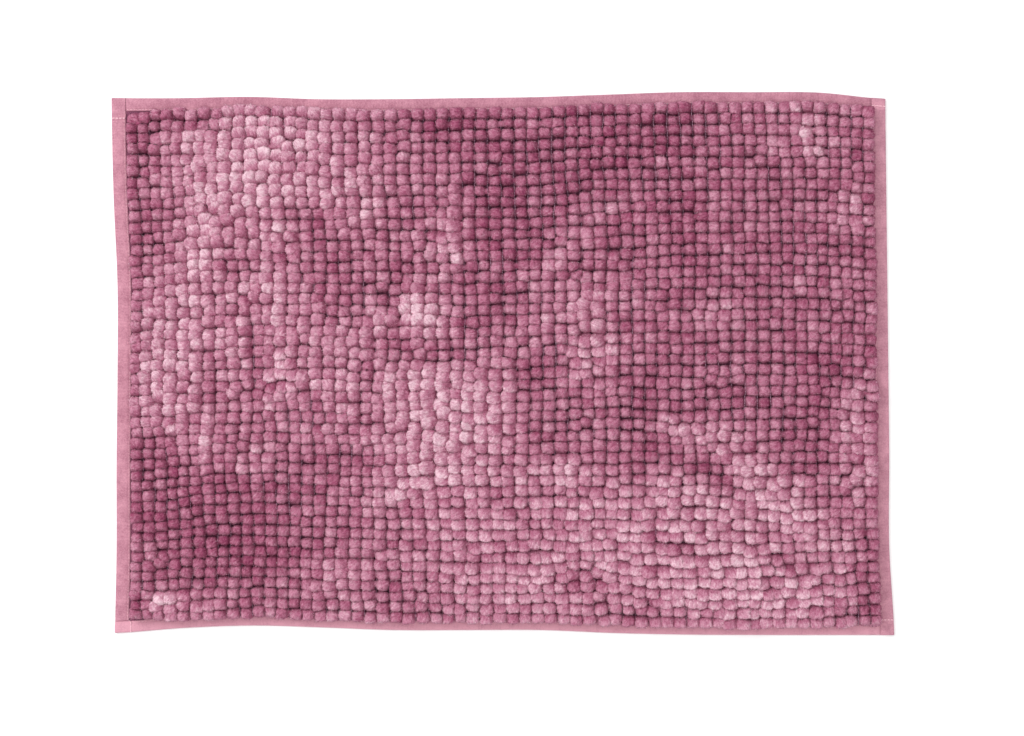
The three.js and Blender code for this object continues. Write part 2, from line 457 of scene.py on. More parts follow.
@dataclass
class MatLay:
    """Where the points of the straight, even mat lie on the floor, once the soft mat has been laid down."""

    length: float = 600 * MM
    width: float = 415 * MM
    # How far each edge lies out from its straight place, in millimetres, from left to right or front to back.
    ease_back: tuple[float, ...] = (-0.8, -0.8, 0.2, -1.6, -1.6, -0.8, 0, 1.9, 3.8, 3.8, 3.5, -1.4)
    ease_front: tuple[float, ...] = (-0.8, -4.7, -6.6, -5.1, -3.1, -3.1, -3.1, -0.8, 0.4, 0.7, 0.7, 0.7)
    ease_left: tuple[float, ...] = (-0.2, -1.4, -1.4, -2.1, -2.1, 1, 2.5)
    ease_right: tuple[float, ...] = (2.5, -1.4, -1.4, -2.1, -2.9, -3.7, -4.4)
    spread: float = 3.5 * MM  # how far the columns are drawn from the middle towards the two ends
    crowd: float = 8 * MM  # how far the rows are pushed to the front at the left end
    middle: tuple[float, float] = (0.0, 0.0)

    def __post_init__(self) -> None:
        """Finds the middle of the outline's box, which is the frame's origin."""
        share = np.linspace(-0.5, 0.5, 401)
        ends = np.full_like(share, 0.5)
        x = np.concatenate([share, share, -ends, ends]) * self.length
        y = np.concatenate([-ends, ends, share, share]) * self.width
        laid = self.place(x, y)
        self.middle = ((laid[0].min() + laid[0].max()) / 2, (laid[1].min() + laid[1].max()) / 2)

    @staticmethod
    def along_edge(values: Sequence[float], share: Array) -> Array:
        """Reads a smooth curve through equally spaced values.

        Args:
            values: the values, in millimetres.
            share: shares of the curve's length, from 0 to 1.

        Returns:
            The curve's value at each share, in metres.
        """
        held = np.asarray(values, float)
        place = np.clip(share, 0, 1) * (len(held) - 1)
        first = np.minimum(place.astype(int), len(held) - 2)
        t = place - first
        before, start, end, after = (held[np.clip(first + k, 0, len(held) - 1)] for k in (-1, 0, 1, 2))
        leave = (end - before) / 2
        arrive = (after - start) / 2
        cubic = 2 * start - 2 * end + leave + arrive
        square = -3 * start + 3 * end - 2 * leave - arrive
        return (cubic * t**3 + square * t**2 + leave * t + start) * MM

    def place(self, x: Array, y: Array) -> tuple[Array, Array]:
        """Lays points of the straight mat on the floor.

        Args:
            x: their distances from the middle along the length.
            y: their distances from the middle along the width.

        Returns:
            Their x and y in the frame.
        """
        across = x / self.length + 0.5
        up = y / self.width + 0.5
        left = self.along_edge(self.ease_left, up)
        right = self.along_edge(self.ease_right, up)
        front = self.along_edge(self.ease_front, across)
        back = self.along_edge(self.ease_back, across)
        ease_x = -left * (1 - across) + right * across
        ease_y = -front * (1 - up) + back * up
        spread = self.spread * np.sin(math.pi * x / (self.length / 2))
        crowd = self.crowd * (1 - (y / (self.width / 2)) ** 2) * (1 - across) ** 2
        return x + ease_x + spread - self.middle[0], y + ease_y - crowd - self.middle[1]

    def turned(self, run: Array, across: Array, side: Side) -> tuple[Array, Array]:
        """Lays points that are given along one edge of the straight mat.

        Args:
            run: their distances along the edge, from its middle.
            across: their distances outwards, from the mat's middle.
            side: the edge.

        Returns:
            Their x and y in the frame.
        """
        cos, sin = ((1, 0), (0, 1), (-1, 0), (0, -1))[side.value]
        return self.place(run * cos - across * sin, run * sin + across * cos)


@dataclass(frozen=True)
class BrushedPatch:
    """A place where a hand has stroked the pile, its nap's sheen painted lighter or darker. In millimetres.
    """

    x: float
    y: float
    reach_x: float
    reach_y: float
    # how much lighter or darker the pile's painted sheen is here
    shade: float
    turn: float = 0.0

    def at(self, x: Array, y: Array) -> Array:
        """The change of shade that it gives.

        Args:
            x: places along the mat, in millimetres from its middle.
            y: the same along the width.

        Returns:
            The change at each place.
        """
        cos = math.cos(math.radians(self.turn))
        sin = math.sin(math.radians(self.turn))
        u = ((x - self.x) * cos + (y - self.y) * sin) / self.reach_x
        v = ((y - self.y) * cos - (x - self.x) * sin) / self.reach_y
        return self.shade * np.exp(-((u * u + v * v) ** 1.5))


BRUSHED: tuple[BrushedPatch, ...] = tuple(
    BrushedPatch(*values)
    for values in (
        # The back left, brushed light, and its darker corner and edge.
        (-185, 165, 80, 45, 0.17),
        (-214, 130, 16, 52, 0.12, -32),
        (-200, 165, 55, 9, 0.07, 12),
        (-235, 90, 22, 34, 0.12),
        (-262, 0, 24, 66, 0.17),
        (-264, -12, 12, 26, 0.1),
        (-180, 62, 26, 12, 0.14, 12),
        (-172, -6, 12, 30, 0.17),
        (-180, 98, 24, 15, 0.1),
        (-110, 125, 20, 28, 0.07),
        (-120, 30, 45, 40, 0.05),
        (-282, 185, 18, 20, -0.27),
        (-282, 130, 14, 60, -0.14),
        (-228, 187, 18, 8, -0.22),
        (-276, 92, 16, 14, -0.16),
        (-145, 105, 12, 17, -0.2),
        (-178, 116, 30, 6, -0.1, 8),
        (-130, 75, 22, 12, -0.17, 30),
        (-104, 56, 24, 9, -0.1, -25),
        (-188, 2, 7, 28, -0.14),
        (-104, -8, 6, 18, -0.12),
        (-222, -22, 8, 30, -0.07),
        (-212, 75, 14, 10, -0.08),
        # The middle: a bright blob with darker arcs round it.
        (-40, 103, 12, 30, 0.15),
        (-65, 40, 15, 24, 0.24, 15),
        (-92, 28, 26, 10, 0.2, 42),
        (-42, 27, 12, 9, 0.14),
        (-45, -48, 58, 52, 0.2),
        (-54, -45, 13, 58, 0.14),
        (-54, -20, 12, 10, 0.08),
        (-8, -30, 24, 30, 0.1),
        (-60, 122, 16, 10, -0.14),
        (-86, 14, 12, 9, -0.18),
        (-48, 7, 32, 6, -0.15),
        (-18, 48, 26, 26, -0.1),
        (22, -8, 16, 10, -0.2),
        (42, 10, 26, 9, -0.15, 42),
        (56, -44, 44, 28, -0.1),
        (34, -98, 20, 5, -0.14),
        # The back, brushed dark from the middle to the right.
        (20, 160, 105, 46, -0.2),
        (-42, 186, 48, 12, -0.14),
        (84, 165, 50, 32, -0.12),
        (5, 105, 34, 45, -0.14),
        (138, 105, 14, 45, -0.14),
        (210, 100, 95, 70, -0.1),
        (56, 72, 14, 7, -0.14),
        (92, 34, 12, 11, -0.14),
        (126, 186, 22, 9, -0.1),
        (265, 88, 20, 13, -0.15),
        (70, 22, 26, 40, 0.16),
        (166, 35, 18, 17, 0.17),
        (44, 84, 30, 9, 0.13, 42),
        (92, 128, 15, 8, 0.16, 35),
        (234, 176, 10, 22, 0.17, 12),
        (215, 166, 16, 6, 0.12, -30),
        (268, 115, 12, 26, 0.2, -8),
        (172, 120, 14, 22, 0.06),
        # The right: dark stripes above a bright ridge and a broad light field.
        (105, -44, 13, 42, -0.26),
        (160, -82, 22, 10, -0.2, -25),
        (160, -27, 52, 14, -0.12),
        (236, -42, 24, 52, -0.17),
        (254, 2, 16, 14, -0.1),
        (282, 20, 12, 14, -0.1),
        (286, -160, 15, 40, -0.22),
        (252, -192, 30, 9, -0.12),
        (218, -148, 18, 9, -0.09),
        (256, -118, 12, 30, -0.08),
        (150, -150, 130, 58, 0.12),
        (146, -50, 42, 8, 0.16, -8),
        (186, -76, 30, 12, 0.2, -38),
        (222, -112, 34, 16, 0.12, -50),
        (272, -55, 18, 44, 0.16),
        (48, -81, 42, 8, 0.12),
        (185, -176, 70, 18, 0.06),
        # The front left: the darkest field, and the mild front middle.
        (-225, -128, 76, 50, -0.22),
        (-192, -138, 30, 28, -0.1),
        (-275, -72, 26, 24, -0.14),
        (-130, -73, 50, 8, -0.12),
        (-195, -94, 40, 6, -0.08),
        (-128, -97, 55, 4, -0.06),
        (-282, -186, 9, 10, -0.22),
        (-192, -178, 12, 18, -0.12),
        (-75, -172, 28, 20, -0.07),
        (94, -186, 30, 9, -0.07),
        (-226, -68, 7, 22, 0.17),
        (-195, -76, 16, 10, 0.14),
        (-129, -56, 5, 14, 0.12),
        (-262, -182, 17, 8, 0.3),
        (-122, -160, 30, 18, 0.09),
        (-10, -150, 90, 50, 0.07),
        # Broad, faint differences.
        (-190, 150, 75, 50, 0.05),
        (-225, 20, 45, 70, 0.07),
        (-235, 70, 14, 60, 0.09),
        (-268, 5, 16, 30, -0.07),
        (-130, 5, 35, 45, 0.08),
        (-130, 130, 24, 20, 0.06),
        (-75, -90, 20, 12, 0.08),
        (60, -130, 70, 60, 0.05),
        (170, -140, 90, 50, 0.06),
        (215, 60, 80, 80, -0.04),
        (150, 10, 55, 24, -0.09),
        (20, 150, 100, 50, 0.03),
        (-205, -130, 55, 40, 0.05),
        (272, -50, 18, 30, -0.04),
        (95, 110, 30, 22, -0.07),
        # Small strokes that come out lighter than the pile round them.
        (-203, 125, 22, 14, 0.17),
        (-172, 128, 16, 14, 0.14),
        (-160, 95, 24, 12, 0.12, -40),
        (-174, 38, 12, 12, 0.15),
        (-200, 14, 8, 20, 0.14),
        (-160, -5, 22, 12, 0.1),
        (-235, -180, 30, 11, 0.13),
        (-138, -172, 8, 16, 0.08),
        (-65, -85, 26, 16, 0.1, 20),
        (-25, -120, 24, 20, 0.09),
        (-30, -158, 18, 14, 0.07),
        (-60, 145, 24, 26, 0.08),
        (-30, 165, 14, 24, 0.05),
        (-58, 88, 14, 12, 0.1),
        (-35, 112, 8, 12, 0.09),
        (203, 95, 13, 32, 0.1),
        (250, 105, 16, 9, 0.07),
        (262, 68, 22, 8, 0.08),
        (213, 25, 9, 9, 0.06),
        (35, 28, 10, 12, 0.12),
        (140, -112, 14, 10, 0.16),
        (238, -188, 20, 14, 0.2),
        (190, -195, 18, 10, 0.1),
        (225, -88, 28, 9, 0.07),
        (-258, -50, 12, 40, 0.05),
        (-58, -24, 10, 8, 0.08),
        (60, -52, 36, 10, 0.05),
        # And some that come out darker.
        (-120, 45, 18, 15, -0.2),
        (-80, 55, 11, 22, -0.19),
        (-243, 85, 12, 12, -0.14),
        (-245, 120, 16, 24, -0.1),
        (-284, 50, 8, 60, -0.09),
        (-265, 158, 16, 10, -0.1),
        (-230, 183, 14, 9, -0.08),
        (-160, 182, 28, 10, -0.08),
        (-195, 68, 14, 9, -0.08),
        (-45, 0, 18, 9, -0.14),
        (-35, -36, 10, 26, -0.07),
        (-155, -38, 36, 10, -0.07),
        (-163, -163, 14, 14, -0.08),
        (-275, -185, 10, 9, -0.08),
        (40, 96, 22, 12, -0.14, 20),
        (110, 68, 10, 14, -0.13),
        (92, 22, 14, 22, -0.1),
        (70, 180, 40, 16, -0.05),
        (162, 180, 34, 18, -0.08),
        (220, 155, 14, 10, -0.12),
        (268, 163, 12, 32, -0.14),
        (25, -35, 14, 20, -0.07),
        (20, -75, 14, 14, -0.07),
        (20, -130, 26, 16, -0.1),
        (65, -158, 20, 14, -0.14),
        (78, -122, 10, 20, -0.12),
        (220, -145, 34, 18, -0.08, -30),
        (200, -112, 14, 8, -0.08),
    )
)


MOST_BRUSHED = 0.29  # the shade at which the pile lies as flat, or stands as straight, as it can


def brushed_shade(noise: FibreNoise, points: Array) -> Array:
    """How far the pile is brushed here: it sets the bobbles' lean and gaps, and is painted as the nap's
    sheen.

    Args:
        noise: gives the patches their ragged borders.
        points: places on the mat, with x, y and z on the last axis.

    Returns:
        A change of shade for each point, below MOST_BRUSHED either way.
    """
    flat = points * [1, 1, 0]
    x = points[..., 0] / MM + 4.5 * noise.at(flat, 17 * MM, 4.4) + 2.5 * noise.at(flat, 8 * MM, 7.9)
    y = points[..., 1] / MM + 4.5 * noise.at(flat, 17 * MM, 13.6) + 2.5 * noise.at(flat, 8 * MM, 2.8)
    total = np.zeros(x.shape)
    for patch in BRUSHED:
        total = total + patch.at(x, y)
    return MOST_BRUSHED * np.tanh(total / MOST_BRUSHED)


# ------------------------------------------------------------------------------
# The pile
# ------------------------------------------------------------------------------


@dataclass
class BobblePile:
    """The rows of bobbles: one chenille yarn each, raised into a bobble between every two locking threads."""

    lay: MatLay
    noise: FibreNoise
    edge_x: float = 289.8 * MM  # from the middle to the outer sides of the first and last columns
    edge_y: float = 200.0 * MM
    inset_left: float = 2.6 * MM  # how far the first column stands in from its even place
    inset_back: float = 1.0 * MM
    corner: float = 26 * MM  # how far from the left corners the crossing tapes push the rows in
    push_front: float = 5.5 * MM
    push_back: float = 2.5 * MM
    tucked_in: tuple[float, float] = (2.4 * MM, -2.2 * MM)  # how far they push the back left corner's bobble
    pressed_down: float = 4.5 * MM  # and how far they press it down
    wander: float = 2.6 * MM  # how far the rows and columns stray from even lines
    jitter: float = 0.62 * MM  # how far each bobble strays by itself
    floor_z: float = 1.95 * MM
    belly_z: float = 9.4 * MM
    filling: float = 6 * MM  # how much higher a bobble's belly lies where the pile is brushed light
    top_z: float = 13.9 * MM
    half_x: float = 4.85 * MM
    half_y: float = 4.42 * MM
    swell: float = 0.6  # how much wider a bobble spreads where it is brushed light
    gap: float = -0.95 * MM  # between neighbours on average: below zero they press into each other
    parting: float = 2.4 * MM  # how much more they close up where brushed light, or part where brushed dark
    joined: float = -1.5 * MM  # the gap between tufts that have grown together
    border: float = -1.2 * MM  # the gap to the spare bobble beyond the border
    crease: float = 12.0  # how sharply a bobble's side turns where it meets a neighbour
    tilt: float = 0.36  # the slope of a bobble's top where it is combed over the most
    most_lean: float = 3.4 * MM  # how far a bobble's top is combed over where the pile is brushed lightest
    grid: int = 13  # faces along the top of one bobble
    levels: int = 5  # rings of faces down its side
    lowest: float = math.radians(-62)  # the rise of the lowest ring
    fibres: int = 60  # loose fibres on one bobble
    fibre: float = 0.27 * MM  # the radius of a loose fibre's root
    yarn: tuple[float, float] = (2.6 * MM, 2.4 * MM)  # half the width and half the height of the pinched yarn
    yarn_z: float = 6.8 * MM

    def __post_init__(self) -> None:
        """Draws everything that differs from bobble to bobble, with a spare row and column all round."""
        rng = np.random.default_rng(SEED)
        x, y = self.even_feet()
        inside = np.zeros_like(x)
        inside[1:-1, 1:-1] = 1
        self.draw_feet(rng, x, y, inside)
        self.draw_leans(rng, x, y, inside)
        self.draw_shapes(rng)
        self.merge = self.draw_merges(rng, x, y)
        self.find_reach()

    def even_feet(self) -> tuple[Array, Array]:
        """Where the bobbles stand on the straight mat, with the rows pushed in at the left corners.

        Returns:
            Their x and y, with a spare row and column all round.
        """
        column, row = np.meshgrid(np.arange(-1, COLUMNS + 1), np.arange(-1, ROWS + 1))
        x = ((column + 0.5) / COLUMNS * 2 - 1) * self.edge_x
        y = ((row + 0.5) / ROWS * 2 - 1) * self.edge_y
        x = x + self.inset_left / 2 * (1 - x / self.edge_x)
        y = y - self.inset_back / 2 * (1 + y / self.edge_y)
        left_end = np.exp(-(((x + self.edge_x) / self.corner) ** 2))
        y = y + self.push_front * left_end * np.clip(-y / self.edge_y, 0, 1) ** 8
        y = y - self.push_back * left_end * np.clip(y / self.edge_y, 0, 1) ** 8
        return x, y

    def draw_feet(self, rng: np.random.Generator, x: Array, y: Array, inside: Array) -> None:
        """Lays the feet down a little unevenly, less so near the edges.

        Args:
            rng: the source of what is random.
            x: the feet's places on the straight mat.
            y: the same along the width.
            inside: 1 for a bobble and 0 for a spare one.
        """
        flat = np.stack([x, y, np.zeros_like(x)], -1)
        to_edge = np.minimum(self.edge_x - np.abs(x), self.edge_y - np.abs(y))
        calm = np.clip(to_edge / (40 * MM), 0.2, 1)
        drift = []
        for shift in (0.3, 9.7):
            wander = self.noise.at(flat, 60 * MM, shift) * self.wander * calm
            drift.append((wander + rng.normal(0, self.jitter, x.shape)) * inside)
        self.foot = np.stack(self.lay.place(x + drift[0], y + drift[1]), -1)
        self.foot[-2, 1] += self.tucked_in

    def draw_leans(self, rng: np.random.Generator, x: Array, y: Array, inside: Array) -> None:
        """Combs the bobbles over: to the front at the front right, and to the back left at the back left.

        Args:
            rng: the source of what is random.
            x: the feet's places on the straight mat.
            y: the same along the width.
            inside: 1 for a bobble and 0 for a spare one.
        """
        flat = np.stack([x, y, np.zeros_like(x)], -1)
        combed = brushed_shade(self.noise, np.concatenate([self.foot, np.zeros((*x.shape, 1))], -1))
        back_left = np.clip(0.5 + 0.25 * y / self.edge_y - 0.25 * x / self.edge_x, 0, 1)
        way = math.radians(-80) - math.radians(150) * back_left
        way = way + self.noise.at(flat, 55 * MM, 3.1) * 0.9 + rng.normal(0, 0.3, x.shape)
        light = np.clip(combed / 0.25 + 0.25, 0, 1)
        much = self.most_lean * light * inside
        stray = rng.normal(0, 0.5 * MM, (*x.shape, 2)) * inside[..., None]
        self.lean = np.stack([much * np.cos(way), much * np.sin(way)], -1) + stray
        self.centres = self.foot + 0.6 * self.lean
        self.combed = combed[1:-1, 1:-1]
        self.way = way[1:-1, 1:-1]
        self.light = light[1:-1, 1:-1]
        self.sideways = np.clip(1.5 - 2 * back_left, 0, 1)[1:-1, 1:-1]

    def draw_shapes(self, rng: np.random.Generator) -> None:
        """Gives each bobble its own size, roundness, height and shade."""
        shape = (ROWS, COLUMNS)
        raised = np.clip(self.combed, 0, 0.3)
        size = rng.normal(1.03, 0.07, shape) + self.swell * self.combed
        self.squareness = np.clip(2.55 - 0.8 * self.combed, 2.3, 2.8) + rng.normal(0, 0.15, shape)
        self.height = self.top_z + rng.normal(0, 0.8 * MM, shape)
        self.belly = self.belly_z + self.filling * np.clip(self.combed, -0.06, 0.3)
        self.own_shade = rng.normal(0, 1, shape)
        self.height[-1, 0] -= self.pressed_down
        self.size_x = size + 0.8 * self.sideways * raised
        self.size_y = size + 0.25 * (1 - self.sideways) * raised
        self.cover = rng.normal(0, 0.6, shape)

    def draw_merges(self, rng: np.random.Generator, x: Array, y: Array) -> Array:
        """Picks the neighbours in a row whose tufts have grown together, most of them at the front right."""
        near = np.exp(-(((x - 170 * MM) / (120 * MM)) ** 2) - ((y + 110 * MM) / (90 * MM)) ** 2)
        return (rng.random(x.shape) < 0.05 + 0.25 * near)[1:-1, :]

    def find_reach(self) -> None:
        """Finds how far each bobble may reach towards each of its eight neighbours."""
        own = self.centres[1:-1, 1:-1]
        steps = [(j, i) for j in (-1, 0, 1) for i in (-1, 0, 1) if (i, j) != (0, 0)]
        row = np.arange(ROWS)[:, None]
        column = np.arange(COLUMNS)[None]
        reach, angle = [], []
        for j, i in steps:
            other = self.centres[1 + j : 1 + j + ROWS, 1 + i : 1 + i + COLUMNS]
            away = other - own
            distance = np.hypot(away[..., 0], away[..., 1])
            middle = np.concatenate([(own + other) / 2, np.zeros((ROWS, COLUMNS, 1))], -1)
            brushed = brushed_shade(self.noise, middle)
            gap = self.gap - self.parting * brushed + 0.9 * MM * self.noise.at(middle, 3.7 * MM, 0.9)
            if j == 0:
                joined = self.merge[:, 1:-1] if i == 1 else self.merge[:, :-2]
                gap = gap + 0.3 * MM - 7 * MM * self.sideways * np.clip(brushed, 0, 0.3)
                gap = np.where(joined, self.joined, gap)
            if i == 0:
                gap = gap - 3 * MM * (1 - self.sideways) * np.clip(brushed, 0, 0.3)
            outside = (row + j < 0) | (row + j >= ROWS) | (column + i < 0) | (column + i >= COLUMNS)
            gap = np.where(outside, self.border, gap)
            heading = (away * self.lean[1:-1, 1:-1]).sum(-1) / distance
            over = np.where(heading > 0, 0.45, 0.1) * heading * ~outside
            reach.append((distance - gap) / 2 + over)
            angle.append(np.arctan2(away[..., 1], away[..., 0]))
        self.reach = np.stack(reach, -1)
        self.angle = np.stack(angle, -1)

    def surface(self, row: int, turn: Array, rise: Array) -> Array:
        """Points on the bobbles of one row.

        Args:
            row: the row's number, from the front.
            turn: directions in plan, in radians, with one line for each bobble.
            rise: angles above the bobble's belly, in radians, in the same order.

        Returns:
            The points, with x, y and z on the last axis.
        """
        size_x = self.half_x * self.size_x[row][:, None]
        size_y = self.half_y * self.size_y[row][:, None]
        cos, sin = np.cos(turn), np.sin(turn)
        power = self.squareness[row][:, None]
        own = (np.abs(cos) / size_x) ** power + (np.abs(sin) / size_y) ** power
        skirt = np.clip(-3 * np.sin(rise), 0, 1)
        own = own ** (-1 / power) * (1 + 0.3 * skirt)
        inverse = own**-self.crease
        for k in range(8):
            toward = np.cos(turn - self.angle[row, :, k][:, None])
            limit = (self.reach[row, :, k][:, None] + 0.3 * MM * skirt) / np.maximum(toward, 0.05)
            inverse = inverse + np.where(toward > 0.05, limit**-self.crease, 0)
        radius = inverse ** (-1 / self.crease)
        out = np.cos(rise) ** np.where(rise > 0, 0.95 - 0.25 * self.light[row][:, None], 0.4)
        up = np.sin(rise)
        top = self.height[row][:, None]
        belly = self.belly[row][:, None]
        z = belly + np.where(up > 0, up * (top - belly), up * (belly - self.floor_z))
        lean = np.clip((z - self.floor_z) / (top - self.floor_z), 0, 1)
        lean_x, lean_y = (self.lean[1 + row, 1:-1, axis][:, None] for axis in (0, 1))
        x = self.foot[1 + row, 1:-1, 0][:, None] + lean * lean_x + radius * out * cos
        y = self.foot[1 + row, 1:-1, 1][:, None] + lean * lean_y + radius * out * sin
        z = z + lean * self.tilt * (cos * lean_x + sin * lean_y) * radius * out / self.most_lean
        points = np.stack([x, y, z], -1)
        outward = np.stack([cos * np.cos(rise), sin * np.cos(rise), np.sin(rise)], -1)
        clumps = self.noise.at(points, 2.7 * MM, 1.7) * 0.6 + self.noise.at(points, 1.3 * MM, 4.2) * 0.5
        points = points + outward * (clumps * MM * np.clip(1.2 + np.sin(rise), 0.3, 1))[..., None]
        return points

    def directions(self) -> tuple[Array, Array, Array, Array]:
        """The directions of one bobble's corners, and its faces.

        Returns:
            The corners' turns and rises, the quads and the triangles.
        """
        n = self.grid
        steps = np.linspace(-1, 1, n + 1)
        u, v = np.meshgrid(steps, steps)
        bend = 0.86  # spreads the corners more evenly over the round top
        flat = np.stack([np.tan(u * bend), np.tan(v * bend)], -1).reshape(-1, 2)
        turn = list(np.arctan2(flat[:, 1], flat[:, 0]))
        rise = list(np.arctan2(1.0, np.hypot(flat[:, 0], flat[:, 1]) * 0.9))
        side = [(i, 0) for i in range(n)] + [(n, j) for j in range(n)]
        side += [(i, n) for i in range(n, 0, -1)] + [(0, j) for j in range(n, 0, -1)]
        rim = np.array([j * (n + 1) + i for i, j in side])
        corner, _ = np.meshgrid(np.arange(n), np.arange(n))
        start = (np.arange(n)[:, None] * (n + 1) + corner).ravel()
        quads = [np.stack([start, start + 1, start + n + 2, start + n + 1], -1)]
        rim_turn, rim_rise = np.array(turn)[rim], np.array(rise)[rim]
        above = rim
        for level in range(1, self.levels + 1):
            share = level / self.levels
            ring = len(turn) + np.arange(len(rim))
            turn += list(rim_turn)
            rise += list(rim_rise * (1 - share) + self.lowest * share)
            quads.append(np.stack([above, ring, np.roll(ring, -1), np.roll(above, -1)], -1))
            above = ring
        foot = len(turn)
        turn.append(0.0)
        rise.append(-math.pi / 2)
        triangles = np.stack([above, np.full(len(rim), foot), np.roll(above, -1)], -1)
        return np.array(turn), np.array(rise), np.concatenate(quads), triangles

    def shade_of(self, row: int, points: Array, bobble: Array) -> Array:
        """How light the pile is painted at these points, from 0 to 1: its own tone with painted light and
        shade.

        The brushed nap is painted as sheen, the side each bobble is combed towards as a painted highlight and
        the other side as painted shade, and the pile low in the gaps as painted shade.

        Args:
            row: the row's number.
            points: places on its bobbles.
            bobble: the number of the bobble that each point belongs to.

        Returns:
            One shade for each point.
        """
        # The brushed patches, painted as the lighter and darker sheen of the nap.
        shade = 0.5 + 0.88 * brushed_shade(self.noise, points)
        shade = shade + 0.08 * self.noise.at(points * [1, 1, 0], 17 * MM, 2.2)
        shade = shade + 0.07 * self.own_shade[row][bobble]
        shade = shade + 0.06 * self.noise.at(points, 2.2 * MM, 6.6)
        away = points[..., :2] - self.centres[1 + row, 1:-1][bobble]
        way = self.way[row][bobble]
        ahead = (away[..., 0] * np.cos(way) + away[..., 1] * np.sin(way)) / self.half_x
        light = self.light[row][bobble]
        # Painted highlight and shade: each bobble is painted lighter on the side it is combed towards and
        # darker on the other.
        laid = np.tanh(2.6 * ahead + self.cover[row][bobble] + self.noise.at(points, 3.2 * MM, 8.1))
        shade = shade + (0.09 + 0.08 * light) * laid
        # Painted shade: the pile is painted darker low down, where it lies deep in the gaps.
        depth = np.clip((points[..., 2] - 6 * MM) / (7 * MM), 0, 1)
        return shade * (0.86 + 0.14 * depth)

    def combed_place(self, row: int, points: Array, bobble: Array) -> Array:
        """Places in which the fibres' pattern is even, shortened along the way that each bobble is combed.

        Args:
            row: the row's number.
            points: places on its bobbles.
            bobble: the number of the bobble that each point belongs to.

        Returns:
            A place in the pattern for each point.
        """
        away = points[..., :2] - self.centres[1 + row, 1:-1][bobble]
        cos, sin = np.cos(self.way[row][bobble]), np.sin(self.way[row][bobble])
        along = away[..., 0] * cos + away[..., 1] * sin
        across = away[..., 1] * cos - away[..., 0] * sin
        start = (bobble + COLUMNS * row) * 17 * MM  # each bobble reads its own piece of the pattern
        return np.stack([0.5 * along + start, 1.25 * across, 0.8 * points[..., 2]], -1)

    def build_row(self, row: int) -> bpy.types.Object:
        """Builds one row: its bobbles, the pinched yarn between them and their loose fibres.

        Args:
            row: the row's number, from the front.

        Returns:
            The row, as one object.
        """
        turn, rise, quads, triangles = self.directions()
        count = len(turn)
        bobbles = self.surface(row, np.tile(turn, (COLUMNS, 1)), np.tile(rise, (COLUMNS, 1)))
        own = np.repeat(np.arange(COLUMNS), count).reshape(COLUMNS, count)
        shades = self.shade_of(row, bobbles, own)
        offset = (np.arange(COLUMNS) * count)[:, None, None]
        combed = self.combed_place(row, bobbles, own).reshape(-1, 3)
        parts = [(bobbles.reshape(-1, 3), quads + offset, triangles + offset, shades.ravel(), combed)]
        parts.append(self.pinched_yarn(row))
        parts.append(self.loose_fibres(row))
        return self.join(f"chenille_row_{row + 1:02d}", parts)

    @staticmethod
    def join(name: str, parts: Sequence[Part]) -> bpy.types.Object:
        """Joins parts into one mesh.

        Args:
            name: the object's name.
            parts: the parts.

        Returns:
            The object, in the scene.
        """
        starts = np.cumsum([0] + [len(p[0]) for p in parts])
        points = np.concatenate([p[0] for p in parts])
        quads = np.concatenate([np.reshape(p[1], (-1, 4)) + s for p, s in zip(parts, starts)])
        triangles = np.concatenate([np.reshape(p[2], (-1, 3)) + s for p, s in zip(parts, starts)])
        shades = np.concatenate([p[3] for p in parts])
        combed = np.concatenate([p[4] for p in parts])
        return make_mesh(name, points, quads, triangles, {"pile_tone_and_painted_light": shades, "combed": combed})

    def pinched_yarn(self, row: int) -> Part:
        """The yarn where it is held down, as one thin tube through the feet of the row's bobbles.

        Args:
            row: the row's number.

        Returns:
            The tube.
        """
        sides, steps = 8, 4
        feet = self.foot[1 + row, 1:-1]
        place = np.linspace(0, COLUMNS - 1, (COLUMNS - 1) * steps + 1)
        x = np.interp(place, np.arange(COLUMNS), feet[:, 0])
        y = np.interp(place, np.arange(COLUMNS), feet[:, 1])
        around = np.arange(sides) / sides * math.tau
        across = self.yarn[0] * np.cos(around)
        up = self.yarn_z + self.yarn[1] * np.sin(around)
        points = np.stack(np.broadcast_arrays(x[:, None], y[:, None] + across, up), -1)
        points = points + 0.3 * MM * self.noise.at(points, 1.6 * MM, 5.5)[..., None]
        points = points.reshape(-1, 3)
        quads, triangles = tube_faces(len(place), sides)
        bobble = np.repeat(np.round(place).astype(int), sides)
        shades = self.shade_of(row, points, bobble)
        return points, quads, triangles, shades, self.combed_place(row, points, bobble)

